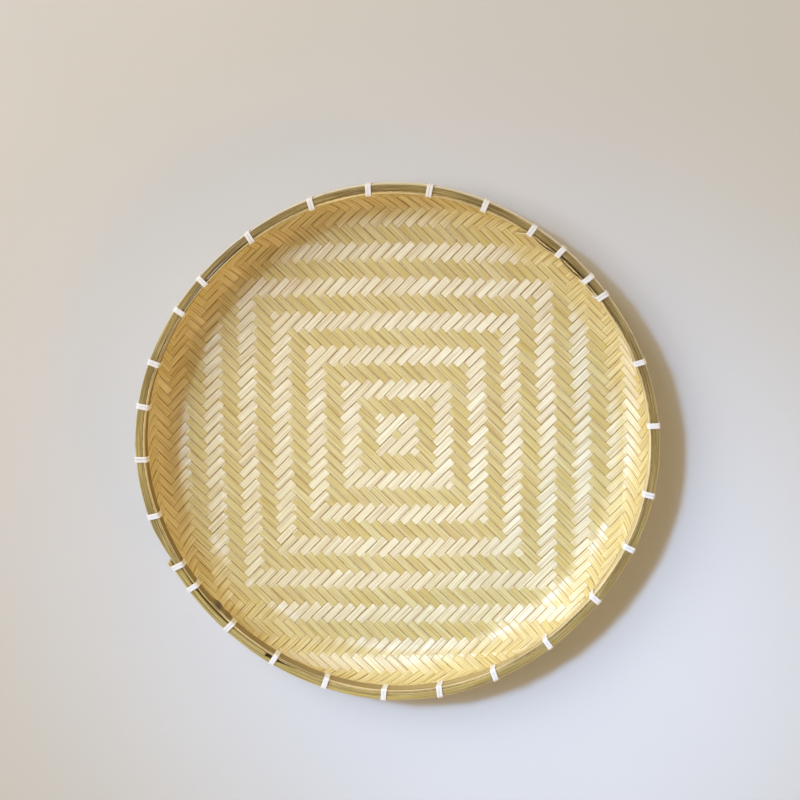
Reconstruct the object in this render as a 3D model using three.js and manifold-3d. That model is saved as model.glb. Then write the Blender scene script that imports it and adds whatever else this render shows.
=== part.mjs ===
// Round bamboo tray. A twill-woven mat of flat splints is pressed into a shallow dish, its edge is
// clamped between an outer and an inner bent hoop, and flat cord lashes the three together.
// Millimetres, +Z up. The origin is the centre of the underside.
import * as THREE from "three";
import { mergeVertices } from "three/addons/utils/BufferGeometryUtils.js";
import Module from "manifold-3d";

const wasm = await Module();
wasm.setup();

// Driving dimensions of the tray
const TRAY_DIAMETER = 420; // across the outer hoop
const TRAY_HEIGHT = 46; // underside to the top edge of the hoops
const DIAGONAL_FLATTENING = 3.2; // how much less the bent hoops reach on the diagonals, in radius

// Hoops: split bamboo, bent on the flat, with pared ends that lap side by side
const HOOP_HEIGHT = 15;
const OUTER_HOOP_THICKNESS = 5.6;
const INNER_HOOP_THICKNESS = 1.3;
const HOOP_EDGE_CHAMFER = 0.8;
const OUTER_LAP_LENGTH = 110; // along the hoop
const OUTER_LAP_END = 208; // degrees, where the outside end is cut off
const INNER_LAP_LENGTH = 88;
const INNER_LAP_END = 34.3;
const LAP_TAPER_LENGTH = 30; // over which an end is pared from full to half thickness
const LAP_GAP = 0.3;
const HOOP_STEPS = 72; // facets in one turn

// Mat: two layers of splints, woven over three and under three
const MAT_THICKNESS = 0.9;
const SPLINT_PITCH = 6.65;
const FLOAT_CROWN = 0.5; // how far the middle of a float stands above its corners
const CELLS_PER_FLOAT = 3;
const WEAVE_SHIFT_X = -1.2; // from the middle of the tray to the middle crossing of the weave
const WEAVE_SHIFT_Y = 0.8;
const WEAVE_LEAN = -0.0225; // sideways lean of the weave's columns of floats, in x for each unit of y
const MAT_EDGE_RECESS = 0.4; // of the mat's cut edge below the hoops' top edge
const SEAT_GAP = 0.3; // between the mat and each hoop
const WALL_BELOW_HOOPS = 1; // straight wall left free for the lashings to pass through
const MAT_STEPS = 72; // facets in one turn
const BEND_STEPS = 6;

// Lashings: flat cord, two turns round both hoops, through a slit in the mat below them
const CORD_WIDTH = 2.2;
const CORD_THICKNESS = 0.9;
const CORD_TURNS = 2;
const CORD_TURN_GAP = 0.55;
const CORD_GAP = 0.3; // between the cord and what it passes
const LASHING_ANGLES = [
  4.9, 19.6, 36.7, 41.7, 50.3, 58.3, 70.1, 82.7, 96.2, 109.3, 125, 139.6, 148.3, 161.4, 171.5, 183.7, 196.9,
  209.6, 215.5, 227.9, 240.7, 253.5, 267.2, 279.9, 292.9, 307.1, 322.3, 336.2, 349.2,
];

// Radii and heights that follow from them
const outerHoopOutside = TRAY_DIAMETER / 2;
const outerHoopInside = outerHoopOutside - OUTER_HOOP_THICKNESS;
const wallOutside = outerHoopInside - SEAT_GAP;
const wallInside = wallOutside - MAT_THICKNESS;
const innerHoopOutside = wallInside - SEAT_GAP;
const innerHoopInside = innerHoopOutside - INNER_HOOP_THICKNESS;
const hoopBottom = TRAY_HEIGHT - HOOP_HEIGHT;
const bendRadius = hoopBottom - WALL_BELOW_HOOPS; // of the underside, from floor to wall
const bendInside = bendRadius - MAT_THICKNESS;
const floorRadius = wallOutside - bendRadius;
const matTop = TRAY_HEIGHT - MAT_EDGE_RECESS;
const thinnestEnd = (Math.min(OUTER_HOOP_THICKNESS, INNER_HOOP_THICKNESS) - LAP_GAP) / 2;
const edgeChamfer = Math.min(HOOP_EDGE_CHAMFER, 0.7 * thinnestEnd);
const lapChamfer = 0.2 * thinnestEnd; // of the pared face of an end

const bamboo = new THREE.MeshStandardMaterial({ color: 0xe3d09a, roughness: 0.55, metalness: 0 });
const hoopSkin = new THREE.MeshStandardMaterial({ color: 0xb09a55, roughness: 0.5, metalness: 0 });
const cordWhite = new THREE.MeshStandardMaterial({ color: 0xf1f1ee, roughness: 0.45, metalness: 0 });

// A closed geometry as a solid that can be joined and cut
function solidOf(geometry) {
  const bare = new THREE.BufferGeometry();
  bare.setAttribute("position", geometry.getAttribute("position"));
  bare.setIndex(geometry.getIndex());
  const merged = mergeVertices(bare, 1e-3);
  const vertProperties = new Float32Array(merged.getAttribute("position").array);
  const triVerts = new Uint32Array(merged.getIndex().array);
  return new wasm.Manifold(new wasm.Mesh({ numProp: 3, vertProperties, triVerts }));
}

function geometryOf(solid) {
  const mesh = solid.getMesh();
  const geometry = new THREE.BufferGeometry();
  geometry.setAttribute("position", new THREE.BufferAttribute(mesh.vertProperties, 3));
  geometry.setIndex(new THREE.BufferAttribute(mesh.triVerts, 1));
  return geometry;
}

// Triangles given by their corner points
function geometryFromPoints(points, index) {
  const geometry = new THREE.BufferGeometry().setFromPoints(points);
  geometry.setIndex(index);
  return geometry;
}

// A solid through a row of like sections, each a ring of points that turns to the right when it is
// seen along the way the row runs, closed by a fan at both ends
function loft(sections) {
  const sides = sections[0].length;
  const index = [];
  for (let s = 0; s + 1 < sections.length; s++) {
    for (let k = 0; k < sides; k++) {
      const a = s * sides + k;
      const b = s * sides + ((k + 1) % sides);
      index.push(a, b, a + sides, b, b + sides, a + sides);
    }
  }
  const last = (sections.length - 1) * sides;
  for (let k = 1; k + 1 < sides; k++) {
    index.push(0, k + 1, k);
    index.push(last, last + k, last + k + 1);
  }
  return geometryFromPoints(sections.flat(), index);
}

// A profile of [radius, height] pairs turned about Z
function turned(profile, steps) {
  const points = profile.map(([radius, height]) => new THREE.Vector2(radius, height));
  return new THREE.LatheGeometry(points, steps).rotateX(Math.PI / 2);
}

function onCircle(angle, radius, height) {
  return new THREE.Vector3(radius * Math.cos(angle), radius * Math.sin(angle), height);
}

// Hoops

// The eight corners of a chamfered strip section, at one place along the hoop. A face that is pared
// fully, by 1, has the small chamfer of the lap.
function hoopSection(angle, inside, outside, pareInside, pareOutside) {
  const c = THREE.MathUtils.lerp(edgeChamfer, lapChamfer, pareInside);
  const d = THREE.MathUtils.lerp(edgeChamfer, lapChamfer, pareOutside);
  const corners = [
    [inside + c, hoopBottom],
    [inside, hoopBottom + c],
    [inside, TRAY_HEIGHT - c],
    [inside + c, TRAY_HEIGHT],
    [outside - d, TRAY_HEIGHT],
    [outside, TRAY_HEIGHT - d],
    [outside, hoopBottom + d],
    [outside - d, hoopBottom],
  ];
  return corners.map(([radius, height]) => onCircle(angle, radius, height));
}

// One strip bent a full turn and a lap further. Its first end is pared to the inner half and its last
// end to the outer half, so that the two lie side by side in the lap and the hoop keeps its thickness.
function hoop(inside, outside, lapEnd, lapLength) {
  const middle = (inside + outside) / 2;
  const lap = lapLength / middle;
  const taper = LAP_TAPER_LENGTH / middle;
  const end = THREE.MathUtils.degToRad(lapEnd);
  const fullTurn = 2 * Math.PI;
  const length = fullTurn + lap;
  const breaks = [0, lap, lap + taper, fullTurn - taper, fullTurn, length];
  const step = fullTurn / HOOP_STEPS;
  const stations = [0];
  for (let b = 0; b + 1 < breaks.length; b++) {
    const parts = Math.ceil((breaks[b + 1] - breaks[b]) / step);
    for (let k = 1; k <= parts; k++) stations.push(breaks[b] + ((breaks[b + 1] - breaks[b]) * k) / parts);
  }
  const sections = stations.map((s) => {
    const pareOutside = 1 - THREE.MathUtils.clamp((s - lap) / taper, 0, 1);
    const pareInside = THREE.MathUtils.clamp((s - fullTurn + taper) / taper, 0, 1);
    const from = THREE.MathUtils.lerp(inside, middle + LAP_GAP / 2, pareInside);
    const to = THREE.MathUtils.lerp(outside, middle - LAP_GAP / 2, pareOutside);
    return hoopSection(end + length - s, from, to, pareInside, pareOutside);
  });
  return loft(sections.reverse());
}

// Mat

// A place on the mat's upper face: the flat mat's x, y laid into the dish, raised by rise
function onMat(x, y, rise) {
  const flat = Math.hypot(x, y);
  const angle = Math.atan2(y, x);
  const bent = flat - floorRadius;
  const middleRadius = bendRadius - MAT_THICKNESS / 2;
  const bend = THREE.MathUtils.clamp(bent / middleRadius, 0, Math.PI / 2);
  const straight = Math.max(0, bent - (middleRadius * Math.PI) / 2);
  const radius = Math.min(flat, floorRadius) + (bendInside - rise) * Math.sin(bend);
  const height = bendRadius - (bendInside - rise) * Math.cos(bend) + straight;
  return onCircle(angle, radius, height);
}

// True where rising splint j lies over falling splint i. Splints 0 cross in the middle of the mat, and
// round that crossing square rings of rising and of falling floats take turns.
function risingOnTop(i, j) {
  const ring = Math.ceil(Math.max(Math.abs(i - j), Math.abs(i + j)) / CELLS_PER_FLOAT);
  return ring % 2 === 1;
}

// The space over the weave, as one solid: below it is the upper face of the mat, with each float a
// low hipped pad, and above it a cone that closes it over the dish
function spaceOverWeave() {
  const reach = floorRadius + (bendRadius * Math.PI) / 2 + HOOP_HEIGHT + WALL_BELOW_HOOPS + 2 * SPLINT_PITCH;
  const cells = Math.ceil(reach / SPLINT_PITCH);
  const relief = floorRadius + (bendRadius - MAT_THICKNESS / 2) * (Math.PI / 2);
  const points = [];
  const index = [];
  const cornerAt = new Map();
  const edges = new Map();

  const flatPlace = (i, j) => {
    const x = ((i - j) * SPLINT_PITCH) / Math.SQRT2;
    const y = ((i + j - 1) * SPLINT_PITCH) / Math.SQRT2;
    return [x + WEAVE_LEAN * y + WEAVE_SHIFT_X, y + WEAVE_SHIFT_Y];
  };
  const inReach = (i, j) => Math.hypot(...flatPlace(i + 0.5, j + 0.5)) < reach;
  const addPoint = (i, j, rise) => {
    const [x, y] = flatPlace(i, j);
    // Between the hoops the weave is pressed flat, clear of the mat's plain wall.
    const pressed = Math.hypot(x, y) > relief - SPLINT_PITCH / 2;
    points.push(onMat(x, y, pressed ? FLOAT_CROWN : rise));
    return points.length - 1;
  };
  const corner = (i, j) => {
    const key = `${i},${j}`;
    if (!cornerAt.has(key)) cornerAt.set(key, addPoint(i, j, 0));
    return cornerAt.get(key);
  };

  // One float as a fan of triangles from its raised middle to the cell corners round it
  const addFloat = (i0, j0, i1, j1) => {
    const ring = [];
    for (let i = i0; i < i1; i++) ring.push(corner(i, j0));
    for (let j = j0; j < j1; j++) ring.push(corner(i1, j));
    for (let i = i1; i > i0; i--) ring.push(corner(i, j1));
    for (let j = j1; j > j0; j--) ring.push(corner(i0, j));
    const top = addPoint((i0 + i1) / 2, (j0 + j1) / 2, FLOAT_CROWN);
    ring.forEach((a, k) => {
      const b = ring[(k + 1) % ring.length];
      index.push(top, b, a);
      const back = `${b},${a}`;
      if (edges.has(back)) edges.delete(back);
      else edges.set(`${a},${b}`, [a, b]);
    });
  };

  // Runs of cells along one splint in which it lies on top
  const addFloats = (rising) => {
    for (let line = -cells; line < cells; line++) {
      let start = null;
      for (let k = -cells; k <= cells; k++) {
        const [i, j] = rising ? [k, line] : [line, k];
        const onTop = k < cells && inReach(i, j) && risingOnTop(i, j) === rising;
        if (onTop && start === null) start = k;
        if (!onTop && start !== null) {
          if (rising) addFloat(start, line, k, line + 1);
          else addFloat(line, start, line + 1, k);
          start = null;
        }
      }
    }
  };
  addFloats(true);
  addFloats(false);

  points.push(new THREE.Vector3(0, 0, 2 * TRAY_HEIGHT + bendRadius));
  for (const [a, b] of edges.values()) index.push(a, b, points.length - 1);
  return solidOf(geometryFromPoints(points, index));
}

// The dish with its upper face still rough, thick enough to hold the weave
function matBlank() {
  const thick = MAT_THICKNESS + 2 * FLOAT_CROWN;
  const ledge = hoopBottom - CORD_GAP;
  const arc = (radius, from, to) =>
    Array.from({ length: BEND_STEPS + 1 }, (_, k) => {
      const bend = THREE.MathUtils.lerp(from, to, k / BEND_STEPS);
      return [floorRadius + radius * Math.sin(bend), bendRadius - radius * Math.cos(bend)];
    });
  const profile = [
    [0, 0],
    ...arc(bendRadius, 0, Math.PI / 2),
    [wallOutside, matTop],
    [wallInside, matTop],
    [wallInside, ledge],
    [wallOutside - thick, ledge],
    ...arc(bendRadius - thick, Math.PI / 2, 0),
    [0, thick],
  ];
  return solidOf(turned(profile, MAT_STEPS));
}

// Lashings

const cordOffset = CORD_GAP + CORD_THICKNESS / 2; // from a face to the middle of the cord
const cordPitch = CORD_WIDTH + CORD_TURN_GAP;
const cordInside = innerHoopInside - cordOffset;
const cordOutside = outerHoopOutside + cordOffset;
const cordBottom = hoopBottom - cordOffset;
const cordTop = TRAY_HEIGHT + cordOffset;

// The middle line of one lashing in the plane across the rim, as [radius, height] pairs: it starts
// and ends under the hoops, and each corner is cut to clear the hoops' chamfers by the same gap
function lashingLine() {
  const cut = edgeChamfer + (2 - Math.SQRT2) * cordOffset;
  const turn = [
    [cordOutside - cut, cordBottom],
    [cordOutside, cordBottom + cut],
    [cordOutside, cordTop - cut],
    [cordOutside - cut, cordTop],
    [cordInside + cut, cordTop],
    [cordInside, cordTop - cut],
    [cordInside, cordBottom + cut],
    [cordInside + cut, cordBottom],
  ];
  const middle = [(cordInside + cordOutside) / 2, cordBottom];
  const line = [middle];
  for (let k = 0; k < CORD_TURNS; k++) line.push(...turn);
  line.push(middle);
  return line.map(([radius, height]) => new THREE.Vector2(radius, height));
}

// The cord's sections along that line, which moves one pitch along the rim with each turn
function lashingSections(angle) {
  const line = lashingLine();
  const radial = new THREE.Vector3(Math.cos(angle), Math.sin(angle), 0);
  const along = new THREE.Vector3(-Math.sin(angle), Math.cos(angle), 0);
  const up = new THREE.Vector3(0, 0, 1);
  const run = [0];
  for (let k = 1; k < line.length; k++) run.push(run[k - 1] + line[k].distanceTo(line[k - 1]));
  const length = run[run.length - 1];
  return line.map((place, k) => {
    const before = place.clone().sub(line[Math.max(0, k - 1)]).normalize();
    const after = line[Math.min(line.length - 1, k + 1)].clone().sub(place).normalize();
    const way = before.clone().add(after).normalize();
    const mitre = way.dot(before.lengthSq() > 0 ? before : after);
    const half = CORD_THICKNESS / 2 / mitre;
    const shift = (run[k] / length - 0.5) * CORD_TURNS * cordPitch;
    const corner = (side, out) =>
      new THREE.Vector3()
        .addScaledVector(radial, place.x + way.y * half * out)
        .addScaledVector(up, place.y - way.x * half * out)
        .addScaledVector(along, shift + (side * CORD_WIDTH) / 2);
    return [corner(-1, -1), corner(-1, 1), corner(1, 1), corner(1, -1)];
  });
}

// The least distance between the edges of one lashing's turns, measured on points along them
function leastTurnGap(sections) {
  const finer = 12;
  const edge = (k) => {
    const curve = new THREE.CurvePath();
    for (let s = 0; s + 1 < sections.length; s++) {
      curve.add(new THREE.LineCurve3(sections[s][k], sections[s + 1][k]));
    }
    return curve.getSpacedPoints(sections.length * finer);
  };
  const [left, right] = [edge(0), edge(3)];
  const nearTurn = left.length / CORD_TURNS / 2;
  let least = Infinity;
  left.forEach((a, m) =>
    right.forEach((b, n) => {
      if (Math.abs(m - n) > nearTurn) least = Math.min(least, a.distanceTo(b));
    }),
  );
  return least;
}

// The slit that one lashing passes through, under the hoops
function lashingSlit(angle) {
  const from = wallInside - 3 * FLOAT_CROWN;
  const to = wallOutside + SEAT_GAP;
  const width = CORD_TURNS * cordPitch + CORD_WIDTH + 2 * CORD_GAP;
  const box = new THREE.BoxGeometry(to - from, width, CORD_THICKNESS + 2 * CORD_GAP);
  box.translate((from + to) / 2, 0, cordBottom).rotateZ(angle);
  return solidOf(box);
}

// Assembly

// The hand-bent tray is a little squarer than a circle: each radius shrinks with the cosine of four
// times its angle, from nothing on the axes to the full flattening on the diagonals
function handBent(geometry) {
  const places = geometry.getAttribute("position");
  for (let k = 0; k < places.count; k++) {
    const [x, y] = [places.getX(k), places.getY(k)];
    const flattening = (DIAGONAL_FLATTENING / outerHoopOutside) * (1 - Math.cos(4 * Math.atan2(y, x)));
    places.setXY(k, x * (1 - flattening / 2), y * (1 - flattening / 2));
  }
  return geometry;
}

const tray = new THREE.Group();
function add(name, geometry, material) {
  const mesh = new THREE.Mesh(handBent(geometry), material);
  mesh.name = name;
  tray.add(mesh);
}

const lashingAngles = LASHING_ANGLES.map(THREE.MathUtils.degToRad);
let mat = matBlank().subtract(spaceOverWeave());
for (const angle of lashingAngles) mat = mat.subtract(lashingSlit(angle));
add("woven_mat", geometryOf(mat), bamboo);
add("outer_hoop", hoop(outerHoopInside, outerHoopOutside, OUTER_LAP_END, OUTER_LAP_LENGTH), hoopSkin);
add("inner_hoop", hoop(innerHoopInside, innerHoopOutside, INNER_LAP_END, INNER_LAP_LENGTH), hoopSkin);
lashingAngles.forEach((angle, k) => {
  const sections = lashingSections(angle);
  add(`lashing_${String(k + 1).padStart(2, "0")}`, loft(sections), cordWhite);
});
console.log(`lashing: least gap between turns ${leastTurnGap(lashingSections(0)).toFixed(2)} mm`);

export default tray;
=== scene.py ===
"""Round woven bamboo tray: every splint of its twill mat, its two lapped hoops and their lashings."""

import math

import bpy
import numpy as np
from mathutils import Matrix, Vector


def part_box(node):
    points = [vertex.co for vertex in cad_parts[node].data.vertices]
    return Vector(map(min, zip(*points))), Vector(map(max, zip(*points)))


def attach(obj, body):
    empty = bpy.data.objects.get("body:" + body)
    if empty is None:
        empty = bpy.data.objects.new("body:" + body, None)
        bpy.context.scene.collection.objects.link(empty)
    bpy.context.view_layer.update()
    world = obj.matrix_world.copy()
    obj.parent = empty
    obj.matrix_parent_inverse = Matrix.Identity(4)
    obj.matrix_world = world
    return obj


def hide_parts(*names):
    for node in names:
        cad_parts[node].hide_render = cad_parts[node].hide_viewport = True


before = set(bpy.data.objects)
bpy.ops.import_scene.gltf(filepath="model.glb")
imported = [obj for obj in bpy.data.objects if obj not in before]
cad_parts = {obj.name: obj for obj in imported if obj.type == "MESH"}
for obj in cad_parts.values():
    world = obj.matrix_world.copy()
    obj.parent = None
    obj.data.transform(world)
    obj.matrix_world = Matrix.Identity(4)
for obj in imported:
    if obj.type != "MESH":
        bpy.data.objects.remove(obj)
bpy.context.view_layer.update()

MM = 0.001
TURN = 2 * math.pi

# Sizes read from the frame
hoop_low, hoop_high = (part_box("outer_hoop")[k].z for k in (0, 1))
outer_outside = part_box("outer_hoop")[1].x
inner_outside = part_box("inner_hoop")[1].x
wall_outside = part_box("woven_mat")[1].x
mat_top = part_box("woven_mat")[1].z - 0.5 * MM  # the splints end a little below the hoops' edge

# Mat: splints woven over three and under three, in rings of squares
SPLINT_PITCH = 6.65 * MM
SPLINT_WIDTH = 6.46 * MM
SPLINT_THICKNESS = 0.48 * MM
SPLINT_LIFT = 0.33 * MM  # from the middle of the mat to the middle of a splint on top
CELLS_PER_FLOAT = 3
WEAVE_SHIFT = (-1.2 * MM, 0.8 * MM)  # from the middle of the tray to the middle crossing
WEAVE_LEAN = -0.0225  # sideways lean of the columns of floats, in x for each unit of y
SHORTEST_SPLINT = 80 * MM  # the mat has none shorter at its sides
STEPS_IN_CELL = np.array([-0.5, -0.46, -0.42, -0.3, 0.3, 0.42, 0.46])  # close where a splint dives
DIVE_FROM, DIVE_LENGTH = 0.46, 0.24  # in cells, from the middle of a float's last cell
SPLINTS_PER_PIECE = 14
WALL_BELOW_HOOPS = 1 * MM
MAT_MIDDLE = 0.68 * MM  # height of the middle of the mat over its underside
EDGE_DIP = 5 * MM  # by which the mat's edge has slipped down between the hoops in some places
EDGE_DIPS = {47: 9, 137: 10, 221: 7}  # degrees: where, and how far to each side
PRESS_LENGTH = 5 * MM  # over which the hoops press the mat flat
PRESSED_LIFT = 0.75  # of the lift, left between the hoops
END_CLEARANCE = 0.0005  # of a splint's length, kept between its cut ends and the nearest rows

# What each splint has of its own, as split and scraped by hand
SPLINT_WIDTHS = (0.94, 1.02)  # narrowest and widest, in usual widths
SPLINT_SWELL, SPLINT_SWELL_LENGTH = 0.03, 35 * MM  # of its width, slowly along it
SPLINT_SWAY, SPLINT_SWAY_LENGTH = 0.15 * MM, 70 * MM  # sideways
SPLINT_ROLL, SPLINT_ROLL_LENGTH = 0.035, 30 * MM  # height for each unit across it
WANDER_LENGTHS = (0.6, 0.9, 1.4, 2.3)  # of a wander's waves, in its nominal wavelength

# Hoops
OUTER_HOOP_THICKNESS = 5.6 * MM
INNER_HOOP_THICKNESS = 1.3 * MM
OUTER_LAP_END, OUTER_LAP_LENGTH = math.radians(208), 110 * MM  # angle where the strip's last end lies
INNER_LAP_END, INNER_LAP_LENGTH = math.radians(34.3), 94 * MM  # with its free end beyond the last tie
LAP_TAPER_LENGTH = 30 * MM
LAP_GAP = 0.15 * MM  # between the two pared ends
INNER_LAP_UNPARED = 0.6 * MM  # by which the inner hoop's lapped end is thicker than half the strip
HOOP_EDGE_RADIUS = 1.2 * MM
HOOP_STEPS = 720  # in a full turn
DIAGONAL_FLATTENING = 3.2 * MM  # by which the tray is less than round at its four diagonals
SPRING, SPRING_LENGTH = 2.2 * MM, 9 * MM  # of a lapped end beyond its last tie
OUTER_SLOT, INNER_SLOT = 0.0, 1.7 * MM  # by which a lap stands open between two lashings
SLACK_ANGLE = math.radians(3.5)  # beyond which a lashing no longer pulls the strips together
EDGE_LEAN = 0.6 * MM  # of each hoop's top edge towards the other
EDGE_LEAN_FROM = 0.8  # of the way from the hoop's middle to its top
THIN_EDGE = 0.45  # of a thin strip's thickness, the most that its edges' radius takes
HOOP_SWAY, HOOP_SWAY_LENGTH = 0.1 * MM, 60 * MM  # wander of a strip split by hand, sideways
HOOP_RISE, HOOP_RISE_LENGTH = 0.25 * MM, 90 * MM  # and in height
# On the inner hoop, the darkening about its angle and the dark colour of its inward skin are painted
# shade, lifted on the lit side opposite; the outer hoop is only darker about its angle
OUTER_BROWN_AT, INNER_PAINTED_SHADE_AT = math.radians(65), math.radians(160)  # where each strip is brownest
INWARD_SKIN_SHADE_LOST = 0.9  # of an inward skin's colour, lost on the hoop's pale side

# Joints of the culm: place along the strip in metres, swelling of the skin, darkness
OUTER_JOINTS = [
    (0.21, 0.3 * MM, 0.3), (0.48, 0.2 * MM, 0.2), (0.77, 0.3 * MM, 0.3), (1.05, 0.2 * MM, 0.2),
]
INNER_JOINTS = [
    (0.14, 0, 0.2), (0.43, 0, 0.2), (0.688, 1.1 * MM, 0.55), (0.6995, 2.1 * MM, 1), (1.02, 0, 0.2),
]
JOINT_LENGTH = 5 * MM  # of a joint's swelling, to each side
BARK_LENGTH = 2 * MM  # of the brown at a joint that doesn't swell, to each side

# Lashings: flat cord, two turns
CORD_WIDTH = 2.3 * MM
CORD_THICKNESS = 0.8 * MM
CORD_PITCH = 2.28 * MM
CORD_GAP = 0.15 * MM  # between cord and hoops
CORD_TURNS = 2
CORD_SPACING = (0.92, 1.08)  # closest and widest turns, in pitches
CORD_LEAN = 0.04  # the most that a lashing leans, sideways for each unit of height
CORD_SIDE_STEPS = 3  # rows along each flat side of the rim
CORD_SECTION_STEPS = 14
CORD_SQUARENESS = (0.4, 0.5)  # powers of the section, across and in thickness: 1 would be an ellipse
LASHING_ANGLES = [  # degrees
    4.9, 19.6, 36.7, 41.7, 50.3, 58.3, 70.1, 82.7, 96.2, 109.3, 125, 139.6, 148.3, 161.4, 171.5, 183.7,
    196.9, 209.6, 215.5, 227.9, 240.7, 253.5, 267.2, 279.9, 292.9, 307.1, 322.3, 336.2, 349.2,
]
TAILS = {36.7: 1, 41.7: 1}  # lashings whose cut ends show inside the rim, and the way they point
TAIL_CLEAR, TAIL_STANDS_OFF = 0.2 * MM, 0.9 * MM  # inwards from the lashing, and further at its tip
TAIL_START, TAIL_LENGTH = 1.5 * MM, 3.4 * MM  # along the rim
TAIL_DEPTH, TAIL_DROOP = 1.4 * MM, 0.8 * MM  # down from the lashing's top, and further at its tip
TAIL_WIDTH = 0.8  # in widths of the cord
TAIL_GRAIN_LENGTH = 4 * MM
TAIL_STEPS = 8

# The dish's profile and the hoops' faces, worked out from these
bend_radius = hoop_low - WALL_BELOW_HOOPS
floor_radius = wall_outside - bend_radius
middle_bend = bend_radius - MAT_MIDDLE
inner_inside = inner_outside - INNER_HOOP_THICKNESS
outer_inside = outer_outside - OUTER_HOOP_THICKNESS
pressed_from = floor_radius + middle_bend * math.pi / 2  # along the flat mat from its middle
mat_reach = pressed_from + mat_top - bend_radius


# Meshes


def hand_bent(points):
    """Points with their radius shrunk a little towards the diagonals, as the hoops were bent: by half
    the flattening times one less the cosine of four times the angle."""
    angle = np.arctan2(points[..., 1], points[..., 0])
    share = 1 - DIAGONAL_FLATTENING / outer_outside * (1 - np.cos(4 * angle)) / 2
    return points * np.stack([share, share, np.ones_like(share)], axis=-1)


def grid_object(name, grids, uvs, material, nodes, attributes=None):
    """One object from a list of grids of points, each rows x columns x 3, whose columns close on
    themselves. Neighbouring rows are joined by quads, and the first and last rows are capped. The
    object stands for the CAD nodes given."""
    faces = []
    count = 0
    for grid in grids:
        rows, columns = grid.shape[:2]
        index = count + np.arange(rows * columns).reshape(rows, columns)
        right = np.roll(index, -1, axis=1)
        quads = np.stack([index[:-1], right[:-1], right[1:], index[1:]], axis=-1)
        faces.extend(quads.reshape(-1, 4).tolist())
        faces.append(index[0, ::-1].tolist())
        faces.append(index[-1].tolist())
        count += rows * columns
    mesh = bpy.data.meshes.new(name)
    mesh.from_pydata(np.concatenate([hand_bent(g).reshape(-1, 3) for g in grids]), [], faces)
    corner_point = np.empty(len(mesh.loops), np.int32)
    mesh.loops.foreach_get("vertex_index", corner_point)
    grain = np.concatenate([uv.reshape(-1, 2) for uv in uvs]).astype(np.float32)
    mesh.uv_layers.new(name="grain").data.foreach_set("uv", grain[corner_point].ravel())
    for key, values in (attributes or {}).items():
        flat = np.concatenate([np.asarray(v).ravel() for v in values]).astype(np.float32)
        mesh.attributes.new(key, "FLOAT", "POINT").data.foreach_set("value", flat)
    mesh.polygons.foreach_set("use_smooth", np.ones(len(mesh.polygons), bool))
    mesh.materials.append(material)
    mesh.update()
    piece = bpy.data.objects.new(name, mesh)
    bpy.context.scene.collection.objects.link(piece)
    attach(piece, "root")
    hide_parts(*nodes)


def ease(share):
    """Smooth step: 0 below 0, 1 above 1, with flat ends."""
    share = np.clip(share, 0, 1)
    return share * share * (3 - 2 * share)


def angle_from(angle, places):
    """How far each angle is from each of the places, which are in degrees and get a last axis."""
    return np.abs(np.remainder(angle[..., None] - np.radians(places) + math.pi, TURN) - math.pi)


def edge_dip(angle):
    """1 where the mat's edge has slipped down between the hoops, and 0 elsewhere round the rim."""
    away = angle_from(angle, list(EDGE_DIPS)) / np.radians(list(EDGE_DIPS.values()))
    return np.exp(-(away**4)).max(axis=-1)


def slack(angle):
    """0 at a lashing, which pulls the strips of a lap together, and 1 well away from all of them."""
    return ease(angle_from(angle, LASHING_ANGLES).min(axis=-1) / SLACK_ANGLE)


def wander(distance, wavelength, seed):
    """A smooth wander between about -1 and 1: four sine waves of lengths near the one given."""
    phases = np.random.default_rng(seed).uniform(0, TURN, 4)
    waves = [
        np.sin(TURN * distance / (wavelength * share) + phase)
        for share, phase in zip(WANDER_LENGTHS, phases)
    ]
    return sum(waves) / 3


# Materials


def linear(hex_colour):
    """An sRGB hex value as linear red, green, blue and alpha."""
    parts = np.array([int(hex_colour[k : k + 2], 16) / 255 for k in (1, 3, 5)])
    parts = np.where(parts <= 0.04045, parts / 12.92, ((parts + 0.055) / 1.055) ** 2.4)
    return (*parts.tolist(), 1.0)


def new_material(name):
    """An empty material and its node tree."""
    material = bpy.data.materials.new(name)
    material.use_nodes = True
    material.node_tree.nodes.clear()
    return material, material.node_tree


def add(tree, kind, inputs=None, **settings):
    """Adds a node, sets its properties, and sets or links its inputs. An input given as a node is
    linked to that node's first output in use."""
    node = tree.nodes.new(kind)
    for key, value in settings.items():
        setattr(node, key, value)
    for key, value in (inputs or {}).items():
        if isinstance(value, bpy.types.Node):
            value = next(s for s in value.outputs if s.enabled)
        if isinstance(value, bpy.types.NodeSocket):
            tree.links.new(value, node.inputs[key])
        else:
            node.inputs[key].default_value = value
    return node


def stretched_noise(tree, uv, offset, long_mm, wide_mm, detail):
    """Noise drawn out along the grain: features long_mm by wide_mm, moved by offset for each piece."""
    scale = add(tree, "ShaderNodeVectorMath", {0: uv, 1: (1 / (long_mm * MM), 1 / (wide_mm * MM), 0)},
                operation="MULTIPLY")
    place = add(tree, "ShaderNodeVectorMath", {0: scale, 1: offset}, operation="ADD")
    return add(tree, "ShaderNodeTexNoise", {
        "Vector": place, "Scale": 1.0, "Detail": detail, "Roughness": 0.6})


def blend(tree, share, first, second):
    """Colours mixed by share: each is a hex value or the result of another blend. A mix node takes its
    colours at inputs 6 and 7 and gives the result at output 2."""
    ends = [linear(end) if isinstance(end, str) else end.outputs[2] for end in (first, second)]
    return add(tree, "ShaderNodeMix", {"Factor": share, 6: ends[0], 7: ends[1]}, data_type="RGBA")


def stretch(tree, value, low, high, to_low, to_high):
    """A value's range low to high laid onto to_low to to_high."""
    return add(tree, "ShaderNodeMapRange", {
        "Value": value, "From Min": low, "From Max": high, "To Min": to_low, "To Max": to_high})


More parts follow.
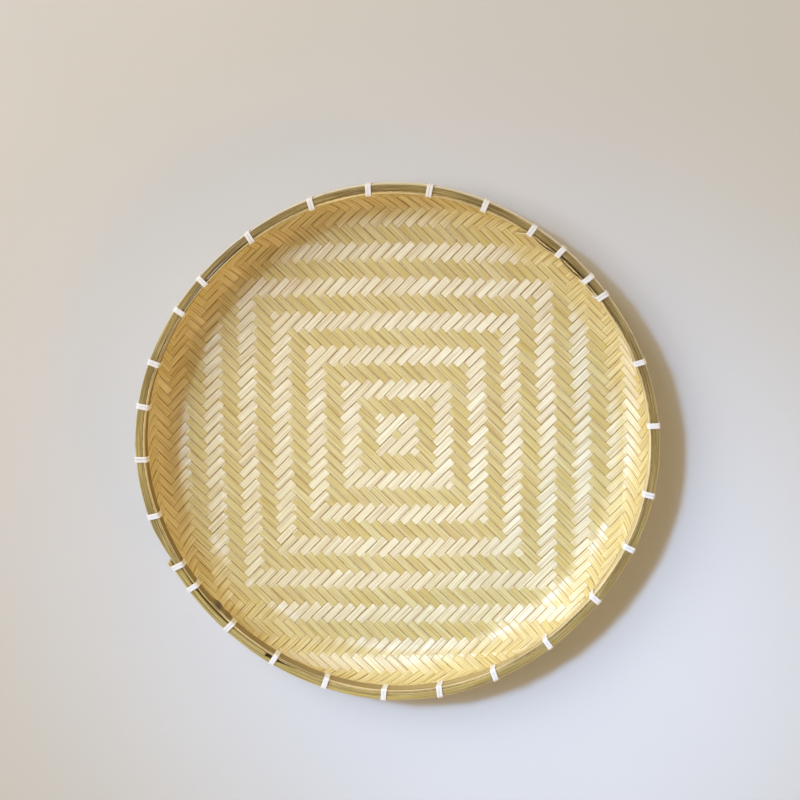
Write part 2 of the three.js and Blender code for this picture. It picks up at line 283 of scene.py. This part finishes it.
def scraped_bamboo():
    """Bamboo split thin and scraped: honey where it lies in shade. Its long fibres mirror light that
    comes across them, so that of two crossing splints one shines cream white and the other stays
    straw. Each splint has its own tone and streaks, and its edges are browner: partly the bamboo's own
    stain, partly painted shade of the dark gaps between splints. The IOR is above that of wood, for
    the fibres' sheen, and the fibres are drawn wider than real ones, so that they show."""
    material, tree = new_material("scraped bamboo")
    uv = add(tree, "ShaderNodeUVMap", uv_map="grain")
    tone = add(tree, "ShaderNodeAttribute", attribute_name="tone").outputs["Fac"]
    edge = add(tree, "ShaderNodeAttribute", attribute_name="edge").outputs["Fac"]
    # The tone also moves each splint to its own part of the noise
    own = add(tree, "ShaderNodeCombineXYZ", {
        "Z": add(tree, "ShaderNodeMath", {0: tone, 1: 41.0}, operation="MULTIPLY")})
    strand = stretched_noise(tree, uv, own, long_mm=70, wide_mm=1.1, detail=2)
    fibre = stretched_noise(tree, uv, own, long_mm=40, wide_mm=0.3, detail=3)
    patch = stretched_noise(tree, uv, own, long_mm=24, wide_mm=12, detail=2)
    shade = add(tree, "ShaderNodeMath", {
        0: stretch(tree, tone, 0, 1, 0, 0.5),
        1: stretch(tree, patch, 0.3, 0.7, 0, 0.5)}, operation="ADD")
    ground = blend(tree, shade, "#D6C16A", "#E9DDA1")
    stranded = blend(tree, stretch(tree, strand, 0.42, 0.68, 0, 0.75), ground, "#BB974A")
    streaked = blend(tree, stretch(tree, fibre, 0.5, 0.75, 0, 0.65), stranded, "#FBF4D4")
    # Browner edges: partly the bamboo's own stain, partly painted shade of the dark gaps between splints
    edge_stain_and_shade = blend(tree, stretch(tree, edge, 0, 1, 0, 0.75), streaked, "#A06004")
    dullness = add(tree, "ShaderNodeMath", {
        0: stretch(tree, strand, 0.38, 0.66, 0.4, 0.62),
        1: stretch(tree, edge, 0, 1, 0, 0.3)}, operation="ADD")
    relief = add(tree, "ShaderNodeMath", {0: strand, 1: fibre}, operation="ADD")
    bump = add(tree, "ShaderNodeBump", {"Height": relief, "Strength": 0.4, "Distance": 0.1 * MM})
    surface = add(tree, "ShaderNodeBsdfPrincipled", {
        "Base Color": edge_stain_and_shade.outputs[2], "Normal": bump, "Roughness": dullness,
        "IOR": 2.3, "Specular IOR Level": 0.45,
        "Anisotropic": 0.93, "Anisotropic Rotation": 0.25,
        "Tangent": add(tree, "ShaderNodeTangent", direction_type="UV_MAP", uv_map="grain")})
    add(tree, "ShaderNodeOutputMaterial", {"Surface": surface})
    return material


def split_culm(name, dark, light, skin_colour):
    """Bamboo culm wall, split and bent: cut faces with close vascular lines along the strip, a smoother
    and glossier skin on one face, and brown at the culm's joints. The strip darkens towards one side of
    the tray and is paler on the other. On the inner hoop that darkening, and the dark colour of its
    inward skin, is painted shade, lifted on the lit side."""
    material, tree = new_material(name)
    uv = add(tree, "ShaderNodeUVMap", uv_map="grain")
    skin = add(tree, "ShaderNodeAttribute", attribute_name="skin").outputs["Fac"]
    joint = add(tree, "ShaderNodeAttribute", attribute_name="joint").outputs["Fac"]
    pale = add(tree, "ShaderNodeAttribute", attribute_name="pale").outputs["Fac"]
    still = add(tree, "ShaderNodeCombineXYZ", {"Z": 3.0})
    bundle = stretched_noise(tree, uv, still, long_mm=90, wide_mm=1.0, detail=2)
    fibre = stretched_noise(tree, uv, still, long_mm=35, wide_mm=0.35, detail=3)
    patch = stretched_noise(tree, uv, still, long_mm=60, wide_mm=9, detail=3)
    # The pale share: on the inner hoop it gives painted shade and light; on the outer hoop it only
    # darkens one side
    shade = add(tree, "ShaderNodeMath", {
        0: stretch(tree, pale, 0, 1, 0, 0.6),
        1: stretch(tree, patch, 0.3, 0.7, 0, 0.4)}, operation="ADD")
    ground = blend(tree, shade, dark, light)
    bundled = blend(tree, stretch(tree, bundle, 0.45, 0.65, 0, 0.85), ground, "#54421C")
    streaked = blend(tree, stretch(tree, fibre, 0.5, 0.7, 0, 0.7), bundled, "#E0D095")
    # On the inner hoop the skin colour is painted shade of its inward face, faded where that hoop is
    # pale
    skinned = blend(tree, stretch(tree, skin, 0, 1, 0, 0.85), streaked, skin_colour)
    jointed = blend(tree, joint, skinned, "#3A2210")
    relief = add(tree, "ShaderNodeMath", {0: bundle, 1: fibre}, operation="ADD")
    bump = add(tree, "ShaderNodeBump", {"Height": relief, "Strength": 0.5, "Distance": 0.15 * MM})
    surface = add(tree, "ShaderNodeBsdfPrincipled", {
        "Base Color": jointed.outputs[2], "Normal": bump,
        "Roughness": stretch(tree, skin, 0, 1, 0.6, 0.38), "IOR": 1.5})
    add(tree, "ShaderNodeOutputMaterial", {"Surface": surface})
    return material


def plastic_cord():
    """Drawn flat plastic cord: milky white, satin, with faint draw lines along it."""
    material, tree = new_material("flat plastic cord")
    uv = add(tree, "ShaderNodeUVMap", uv_map="grain")
    still = add(tree, "ShaderNodeCombineXYZ", {"Z": 8.0})
    line = stretched_noise(tree, uv, still, long_mm=25, wide_mm=0.4, detail=2)
    cloud = stretched_noise(tree, uv, still, long_mm=5, wide_mm=5, detail=2)
    lined = blend(tree, line, "#F0F0EE", "#DCDCD8")
    clouded = blend(tree, stretch(tree, cloud, 0, 1, 0, 0.12), lined, "#E9E2CF")
    bump = add(tree, "ShaderNodeBump", {"Height": line, "Strength": 0.3, "Distance": 0.1 * MM})
    surface = add(tree, "ShaderNodeBsdfPrincipled", {
        "Base Color": clouded.outputs[2], "Normal": bump, "Roughness": 0.4, "IOR": 1.49,
        "Subsurface Weight": 0.1, "Subsurface Radius": (1, 1, 1), "Subsurface Scale": 0.6 * MM})
    add(tree, "ShaderNodeOutputMaterial", {"Surface": surface})
    return material


# Mat


def in_dish(x, y, lift):
    """The flat mat's x, y pressed into the dish: radius kept on the floor, then laid round the bend and
    up the wall by its length. lift raises a point square to the mat, towards the inside."""
    flat = np.hypot(x, y)
    angle = np.arctan2(y, x)
    bend = np.clip((flat - floor_radius) / middle_bend, 0, math.pi / 2)
    straight = np.maximum(0, flat - floor_radius - middle_bend * math.pi / 2)
    radius = np.minimum(flat, floor_radius) + (middle_bend - lift) * np.sin(bend)
    height = bend_radius - (middle_bend - lift) * np.cos(bend) + straight
    return np.stack([radius * np.cos(angle), radius * np.sin(angle), height], axis=-1)


def rising_on_top(i, j):
    """1 where rising splint j lies over falling splint i, and -1 where it lies under it. Splints 0 cross
    in the middle, and square rings of rising and of falling floats take turns round that crossing."""
    ring = np.ceil(np.maximum(np.abs(i - j), np.abs(i + j)) / CELLS_PER_FLOAT)
    return np.where(ring % 2 == 1, 1.0, -1.0)


def over_and_under(cell, top_at):
    """The lift along a splint, 1 over and -1 under: level over the whole of a float, and eased down to
    the other level where the splint has dived beneath the next one across."""
    k = np.round(cell)
    f = cell - k
    here, there = top_at(k), top_at(k + np.sign(f))
    from_float = np.where(here > 0, np.abs(f), 1 - np.abs(f))
    return np.where(here == there, here, 1 - 2 * ease((from_float - DIVE_FROM) / DIVE_LENGTH))


# A splint's section, round once: across in widths, height in thicknesses, nearly flat with eased edges
SECTION_ACROSS = np.array([-0.5, -0.488, -0.46, -0.425, 0.425, 0.46, 0.488, 0.5, 0.46, 0.0, -0.46])
SECTION_HEIGHT = np.array([0.0, 0.36, 0.47, 0.5, 0.5, 0.47, 0.36, 0.0, -0.42, -0.5, -0.42])
# Edge darkening across the section: partly the bamboo's own stain, partly painted shade in the gaps
# between splints
SECTION_EDGE_STAIN_AND_SHADE = np.array([1.0, 0.9, 0.4, 0.0, 0.0, 0.4, 0.9, 1.0, 0.7, 0.0, 0.7])


def laid(along, across, rising):
    """The flat place of a point along and across the splints of one family, which cross at right angles
    but for the weave's slight lean."""
    a, b = (along, across) if rising else (across, along)
    y = (a + b) / math.sqrt(2)
    return (a - b) / math.sqrt(2) + WEAVE_LEAN * y + WEAVE_SHIFT[0], y + WEAVE_SHIFT[1]


def splint(rising, number):
    """One splint from rim to rim, as a grid of its section carried along it. Its ends are cut to the
    round of the mat, and pressed flat between the hoops. Returns its points, grain, tone and edge
    darkening, which is partly the bamboo's own stain and partly painted shade of the gaps between
    splints, or None beyond the rim."""
    seed = 1000 * rising + number + 500
    own = np.random.default_rng(seed)
    offset = number * SPLINT_PITCH
    width = SPLINT_WIDTH * own.uniform(*SPLINT_WIDTHS)
    side = SECTION_ACROSS * width
    # Where the straight splint meets the round edge of the mat, on each line of its section
    start = np.stack(laid(0 * side, offset + side, rising))
    way = np.stack(laid(1 + 0 * side, offset + side, rising)) - start
    square, middle = (way**2).sum(axis=0), -(start * way).sum(axis=0)
    chord = middle**2 - square * ((start**2).sum(axis=0) - mat_reach**2)
    if chord.min() < (SHORTEST_SPLINT / 2) ** 2:
        return None
    low, high = (middle - np.sqrt(chord)) / square, (middle + np.sqrt(chord)) / square
    cells = np.arange(int(low.min() / SPLINT_PITCH) - 1, int(high.max() / SPLINT_PITCH) + 2)
    rows = (cells[:, None] + STEPS_IN_CELL).ravel() * SPLINT_PITCH
    rows = (rows - low.min()) / (high.max() - low.min())
    rows = rows[(rows > END_CLEARANCE) & (rows < 1 - END_CLEARANCE)]
    rows = np.concatenate([[0], rows, [1]])
    along = low + (high - low) * rows[:, None]
    spread = 1 + SPLINT_SWELL * wander(along, SPLINT_SWELL_LENGTH, seed + 3)
    across = offset + side * spread + SPLINT_SWAY * wander(along, SPLINT_SWAY_LENGTH, seed)
    sign = 1 if rising else -1
    crossing = (lambda k: rising_on_top(k, number)) if rising else (lambda k: -rising_on_top(number, k))
    x, y = laid(along, across, rising)
    pressed = ease((np.hypot(x, y) - pressed_from) / PRESS_LENGTH)
    lift = over_and_under(along / SPLINT_PITCH, crossing) * (1 - pressed) + PRESSED_LIFT * sign * pressed
    roll = SPLINT_ROLL * wander(along, SPLINT_ROLL_LENGTH, seed + 7) * side * (1 - pressed)
    slipped = 1 - EDGE_DIP / mat_reach * edge_dip(np.arctan2(y, x)) * pressed
    height = SPLINT_LIFT * lift + SECTION_HEIGHT * SPLINT_THICKNESS + roll
    points = in_dish(x * slipped, y * slipped, height)
    grain = np.stack([along, np.broadcast_to(side, along.shape)], axis=-1)
    tone = np.full(along.shape, own.uniform(0, 1))
    # Edge darkening: partly stain, partly painted shade of the gaps between splints
    edge = np.broadcast_to(SECTION_EDGE_STAIN_AND_SHADE, along.shape)
    grids = (points, grain, tone, edge)
    return grids if rising else tuple(grid[:, ::-1] for grid in grids)


def weave_mat():
    """All splints of both families, in pieces of neighbouring splints."""
    bamboo = scraped_bamboo()
    most = int(mat_reach / SPLINT_PITCH) + 1
    for rising, name in ((1, "rising"), (0, "falling")):
        made = [s for s in (splint(rising, n) for n in range(-most, most + 1)) if s is not None]
        for first in range(0, len(made), SPLINTS_PER_PIECE):
            points, grain, tone, edge = zip(*made[first : first + SPLINTS_PER_PIECE])
            grid_object(
                f"{name}_splints_{first // SPLINTS_PER_PIECE + 1}",
                points, grain, bamboo, ["woven_mat"], {"tone": tone, "edge": edge},
            )


# Hoops


def rounded_section(corner_steps, side_steps):
    """A rounded rectangle, round once, as four arrays: where its corner centres lie (-1 to 1 across and
    up), and the direction from there to the edge."""
    centre_x, centre_z, way_x, way_z = [], [], [], []
    corners = [(-1, -1), (-1, 1), (1, 1), (1, -1)]
    for k, (x, z) in enumerate(corners):
        start = math.pi * 1.5 - k * math.pi / 2
        turn = start - np.linspace(0, math.pi / 2, corner_steps)
        next_x, next_z = corners[(k + 1) % 4]
        share = np.linspace(0, 1, side_steps + 2)[1:-1]
        centre_x += [np.full(corner_steps, x), x + (next_x - x) * share]
        centre_z += [np.full(corner_steps, z), z + (next_z - z) * share]
        way_x += [np.cos(turn), np.full(side_steps, math.cos(turn[-1]))]
        way_z += [np.sin(turn), np.full(side_steps, math.sin(turn[-1]))]
    return [np.concatenate(part) for part in (centre_x, centre_z, way_x, way_z)]


def hoop(name, node, inside, outside, lap_end, lap_length, slot, joints, skin_side, brown_at,
         material, seed):
    """One strip bent a full turn and a lap further, its first end pared to the inner half and its last
    to the outer half. The section is carried round, with the slow wander of a strip split by hand. The
    skin faces out (1) or in (-1), and the end on that side springs off a little beyond its last tie,
    and stands off by the slot between two ties. The top edges of the two hoops lean together over the
    mat's edge. joints gives the culm's joints: where each is along the strip, how far it swells the
    skin and how dark it is. brown_at is the angle about which the strip is brown; opposite to it, it is
    pale, and so is a skin that faces in. On the inner hoop the brown, with its dark inward skin, is
    painted shade, and fades on the lit side opposite."""
    middle = (inside + outside) / 2
    lap, taper = lap_length / middle, LAP_TAPER_LENGTH / middle
    length = TURN + lap
    run = np.linspace(0, length, int(HOOP_STEPS * length / TURN))[:, None]
    pare_outside = 1 - np.clip((run - lap) / taper, 0, 1)
    pare_inside = np.clip((run - TURN + taper) / taper, 0, 1)
    unpared = INNER_LAP_UNPARED * (skin_side < 0)
    low_radius = inside + (middle + LAP_GAP / 2 - inside) * pare_inside - unpared * pare_outside
    high_radius = outside + (middle - LAP_GAP / 2 - outside) * pare_outside
    cx, cz, wx, wz = rounded_section(corner_steps=5, side_steps=9)
    edge = np.minimum(HOOP_EDGE_RADIUS, (high_radius - low_radius) * THIN_EDGE)
    half_x, half_z = (high_radius - low_radius) / 2 - edge, (hoop_high - hoop_low) / 2 - edge
    distance = run * middle
    tip = distance if skin_side < 0 else length * middle - distance
    angle = lap_end + length - run
    open_lap = slot * ease((lap_length - tip) / LAP_TAPER_LENGTH) * slack(angle)
    sprung = SPRING * ease(1 - tip / SPRING_LENGTH) + open_lap
    sway = HOOP_SWAY * wander(distance, HOOP_SWAY_LENGTH, seed) + skin_side * sprung
    rise = HOOP_RISE * (wander(distance, HOOP_RISE_LENGTH, seed + 1) - 1)
    swelling = sum(
        size * np.exp(-(((distance - place) / JOINT_LENGTH) ** 2)) for place, size, _ in joints
    )
    skin = np.clip(skin_side * wx, 0, 1)
    near_top = np.clip((cz - EDGE_LEAN_FROM) / (1 - EDGE_LEAN_FROM), 0, 1)
    leaning = np.clip(-skin_side * cx, 0, 1) * near_top * (1 - edge_dip(angle))
    lean = -skin_side * EDGE_LEAN * leaning
    strip = (low_radius + high_radius) / 2 + cx * half_x + wx * edge
    radius = strip + sway + skin_side * skin * swelling + lean
    height = (hoop_low + hoop_high) / 2 + cz * half_z + wz * edge + rise
    angle = np.broadcast_to(angle, radius.shape)
    points = np.stack([radius * np.cos(angle), radius * np.sin(angle), height], axis=-1)
    section = np.stack([radius[len(run) // 2], height[len(run) // 2]])
    around = np.cumsum(np.hypot(*(section - np.roll(section, 1, axis=1))))
    grain = np.stack(np.broadcast_arrays(distance, around), axis=-1)
    brown = sum(
        dark * np.exp(-(((distance - place) / (BARK_LENGTH + size)) ** 4))
        for place, size, dark in joints
    )
    # Pale opposite brown_at; on the inner hoop the darkening and its dark inward skin are painted shade
    pale = ((1 - np.cos(angle - brown_at)) / 2) ** 2
    skinned = skin**2 * (1 - INWARD_SKIN_SHADE_LOST * pale * (skin_side < 0))
    attributes = {"skin": skinned, "joint": brown * np.sqrt(skin), "pale": pale}
    grid_object(name, [points[::-1]], [grain[::-1]], material, [node],
                {key: [values[::-1]] for key, values in attributes.items()})


# Lashings


def lashing(name, node, angle, tail, material, seed):
    """Flat cord wound twice round both hoops: a rounded flat section carried round the rim's outline,
    which is a rounded rectangle in radius and height, while it moves one pitch along the rim a turn.
    With a tail of 1 or -1, the cord's cut end shows inside the rim and points that way along it."""
    own = np.random.default_rng(seed)
    clear = CORD_GAP + CORD_THICKNESS / 2
    low_r, high_r = inner_inside - clear, outer_outside + clear
    low_z, high_z = hoop_low - clear, hoop_high + clear
    # The line starts and ends under the hoops, in the middle of the lower side
    half_side = (CORD_SIDE_STEPS + 1) // 2
    outline = rounded_section(corner_steps=7, side_steps=CORD_SIDE_STEPS)
    cx, cz, wx, wz = (np.roll(v, half_side) for v in outline)
    corner = HOOP_EDGE_RADIUS + clear
    radius = (low_r + high_r) / 2 + cx * ((high_r - low_r) / 2 - corner) + wx * corner
    height = (low_z + high_z) / 2 + cz * ((high_z - low_z) / 2 - corner) + wz * corner
    radius, height, wx, wz = (
        np.concatenate([np.tile(v[::-1], CORD_TURNS), v[-1:]]) for v in (radius, height, wx, wz)
    )
    step = np.hypot(np.diff(radius, prepend=radius[0]), np.diff(height, prepend=height[0]))
    run = np.cumsum(step)
    shift = (run / run[-1] - 0.5) * CORD_TURNS * CORD_PITCH * own.uniform(*CORD_SPACING)
    lean = (height - (low_z + high_z) / 2) * own.uniform(-CORD_LEAN, CORD_LEAN)
    turn = np.linspace(0, TURN, CORD_SECTION_STEPS, endpoint=False)
    flat = np.sign(np.cos(turn)) * np.abs(np.cos(turn)) ** CORD_SQUARENESS[0] * CORD_WIDTH / 2
    thick = np.sign(np.sin(turn)) * np.abs(np.sin(turn)) ** CORD_SQUARENESS[1] * CORD_THICKNESS / 2
    r = radius[:, None] + wx[:, None] * thick
    z = height[:, None] + wz[:, None] * thick
    t = (shift + lean)[:, None] + flat
    grids = [(r, t, z, run)]
    if tail:
        way = np.linspace(0, 1, TAIL_STEPS)[:, None]
        r = low_r - TAIL_CLEAR - TAIL_STANDS_OFF * way + thick
        t = tail * (TAIL_START + TAIL_LENGTH * way) + 0 * flat
        z = high_z - TAIL_DEPTH - TAIL_DROOP * way**2 + TAIL_WIDTH * flat
        grids.append((r, t, z, TAIL_GRAIN_LENGTH * way[:, 0]))
    turn_x, turn_y = math.cos(angle), math.sin(angle)
    points = [
        np.stack([r * turn_x - t * turn_y, r * turn_y + t * turn_x, z], axis=-1) for r, t, z, _ in grids
    ]
    grain = [np.stack(np.broadcast_arrays(run[:, None], flat), axis=-1) for *_, run in grids]
    grid_object(name, points, grain, material, [node])


weave_mat()
hoop(
    "outer_hoop_strip", "outer_hoop", outer_inside, outer_outside, OUTER_LAP_END, OUTER_LAP_LENGTH,
    OUTER_SLOT, OUTER_JOINTS, skin_side=1, brown_at=OUTER_BROWN_AT, seed=3,
    material=split_culm("split bamboo culm, outer", "#6B5318", "#C2AD5C", "#E8E0C0"),
)
# The inner hoop's darker side towards the left and its dark brown inward skin are painted shade, fading
# on its lit side
hoop(
    "inner_hoop_strip", "inner_hoop", inner_inside, inner_outside, INNER_LAP_END, INNER_LAP_LENGTH,
    INNER_SLOT, INNER_JOINTS, skin_side=-1, brown_at=INNER_PAINTED_SHADE_AT, seed=7,
    material=split_culm("split bamboo culm, inner", "#CFB26C", "#F2E0AA", "#644C14"),
)
cord = plastic_cord()
for k, degrees in enumerate(LASHING_ANGLES, start=1):
    lashing(
        f"lashing_cord_{k:02d}", f"lashing_{k:02d}", math.radians(degrees),
        tail=TAILS.get(degrees), material=cord, seed=90 + k,
    )


# Stage

FLOOR_REACH = 6.0  # from the middle to each side, in metres
FLOOR_MOTTLE = 150 * MM


def floor():
    """A plain pale floor with a faint, slow mottle."""
    material, tree = new_material("pale matt paint")
    place = add(tree, "ShaderNodeTexCoord").outputs["Object"]
    mottle = add(tree, "ShaderNodeTexNoise", {"Vector": place, "Scale": 1 / FLOOR_MOTTLE, "Detail": 2.0})
    colour = blend(tree, mottle, "#D3D6D6", "#D7DAD9")
    surface = add(tree, "ShaderNodeBsdfPrincipled", {"Base Color": colour.outputs[2], "Roughness": 0.9})
    add(tree, "ShaderNodeOutputMaterial", {"Surface": surface})
    corners = [(x * FLOOR_REACH, y * FLOOR_REACH, 0) for x, y in ((-1, -1), (1, -1), (1, 1), (-1, 1))]
    mesh = bpy.data.meshes.new("floor")
    mesh.from_pydata(corners, [], [(0, 1, 2, 3)])
    mesh.materials.append(material)
    ground = bpy.data.objects.new("floor", mesh)
    bpy.context.scene.collection.objects.link(ground)


def studio_light(name, kind, place, aim, power, colour, **settings):
    """A light of a kind at place that shines at aim."""
    light = bpy.data.lights.new(name, kind)
    light.energy = power
    light.color = linear(colour)[:3]
    for key, value in settings.items():
        setattr(light, key, value)
    lamp = bpy.data.objects.new(name, light)
    lamp.location = place
    lamp.rotation_euler = (Vector(aim) - Vector(place)).to_track_quat("-Z", "Y").to_euler()
    bpy.context.scene.collection.objects.link(lamp)


# Camera: the photograph's view. Image pixels are those of the 800 x 800 frame.
IMAGE_PIXELS = 800
RIM_CENTRE_PIXEL = (396.3, 446.0)
MM_PER_PIXEL = 0.799
CAMERA_DISTANCE = 2.2
CAMERA_TILT_UP, CAMERA_TILT_RIGHT = math.radians(9.6), math.radians(2.5)

back = Vector((math.tan(CAMERA_TILT_RIGHT), math.tan(CAMERA_TILT_UP), 1)).normalized()
right = Vector((0, 1, 0)).cross(back).normalized()
up = back.cross(right)
aim = Vector((0, 0, hoop_high))
aim += right * (IMAGE_PIXELS / 2 - RIM_CENTRE_PIXEL[0]) * MM_PER_PIXEL * MM
aim += up * (RIM_CENTRE_PIXEL[1] - IMAGE_PIXELS / 2) * MM_PER_PIXEL * MM
camera = bpy.data.objects.new("camera", bpy.data.cameras.new("camera"))
camera.data.lens = camera.data.sensor_width * CAMERA_DISTANCE / (IMAGE_PIXELS * MM_PER_PIXEL * MM)
turned = Matrix((right, up, back)).transposed().to_4x4()
camera.matrix_world = Matrix.Translation(aim + back * CAMERA_DISTANCE) @ turned
bpy.context.scene.collection.objects.link(camera)
bpy.context.scene.camera = camera

floor()
# Large and soft from the upper left, so that the wall on that side lies in a gradual shade
studio_light("key", "AREA", place=(-1.63, 1.12, 2.26), aim=(0, 0, 0), power=70,
             colour="#E1E3EE", size=2.0)
# A warm reflector opposite, narrow, into the shaded half of the wall
studio_light("reflector", "SPOT", place=(1.43, -1.1, 1.08), aim=(-0.14, 0.11, 0.02), power=98,
             colour="#FFB044", spot_size=math.radians(9), spot_blend=1.0, shadow_soft_size=0.3)
# From the key's side, a narrow cool pool over the lower right of the tray
studio_light("pool", "SPOT", place=(-1.27, 0.87, 2.6), aim=(0.12, -0.17, 0), power=900,
             colour="#ACCDFF", spot_size=math.radians(9), spot_blend=1.0, shadow_soft_size=0.3)
world = bpy.data.worlds.new("studio")
world.use_nodes = True
tree = world.node_tree
tree.nodes.clear()
# Warm light from round about, which falls off to little from overhead
outwards = add(tree, "ShaderNodeTexCoord").outputs["Generated"]
sky = add(tree, "ShaderNodeSeparateXYZ", {0: outwards}).outputs["Z"]
room = add(tree, "ShaderNodeBackground", {
    "Color": linear("#FFE5BA"), "Strength": stretch(tree, sky, 0.2, 0.75, 1.5, 0.17)})
add(tree, "ShaderNodeOutputWorld", {"Surface": room})
bpy.context.scene.world = world
bpy.context.scene.view_settings.view_transform = "Standard"
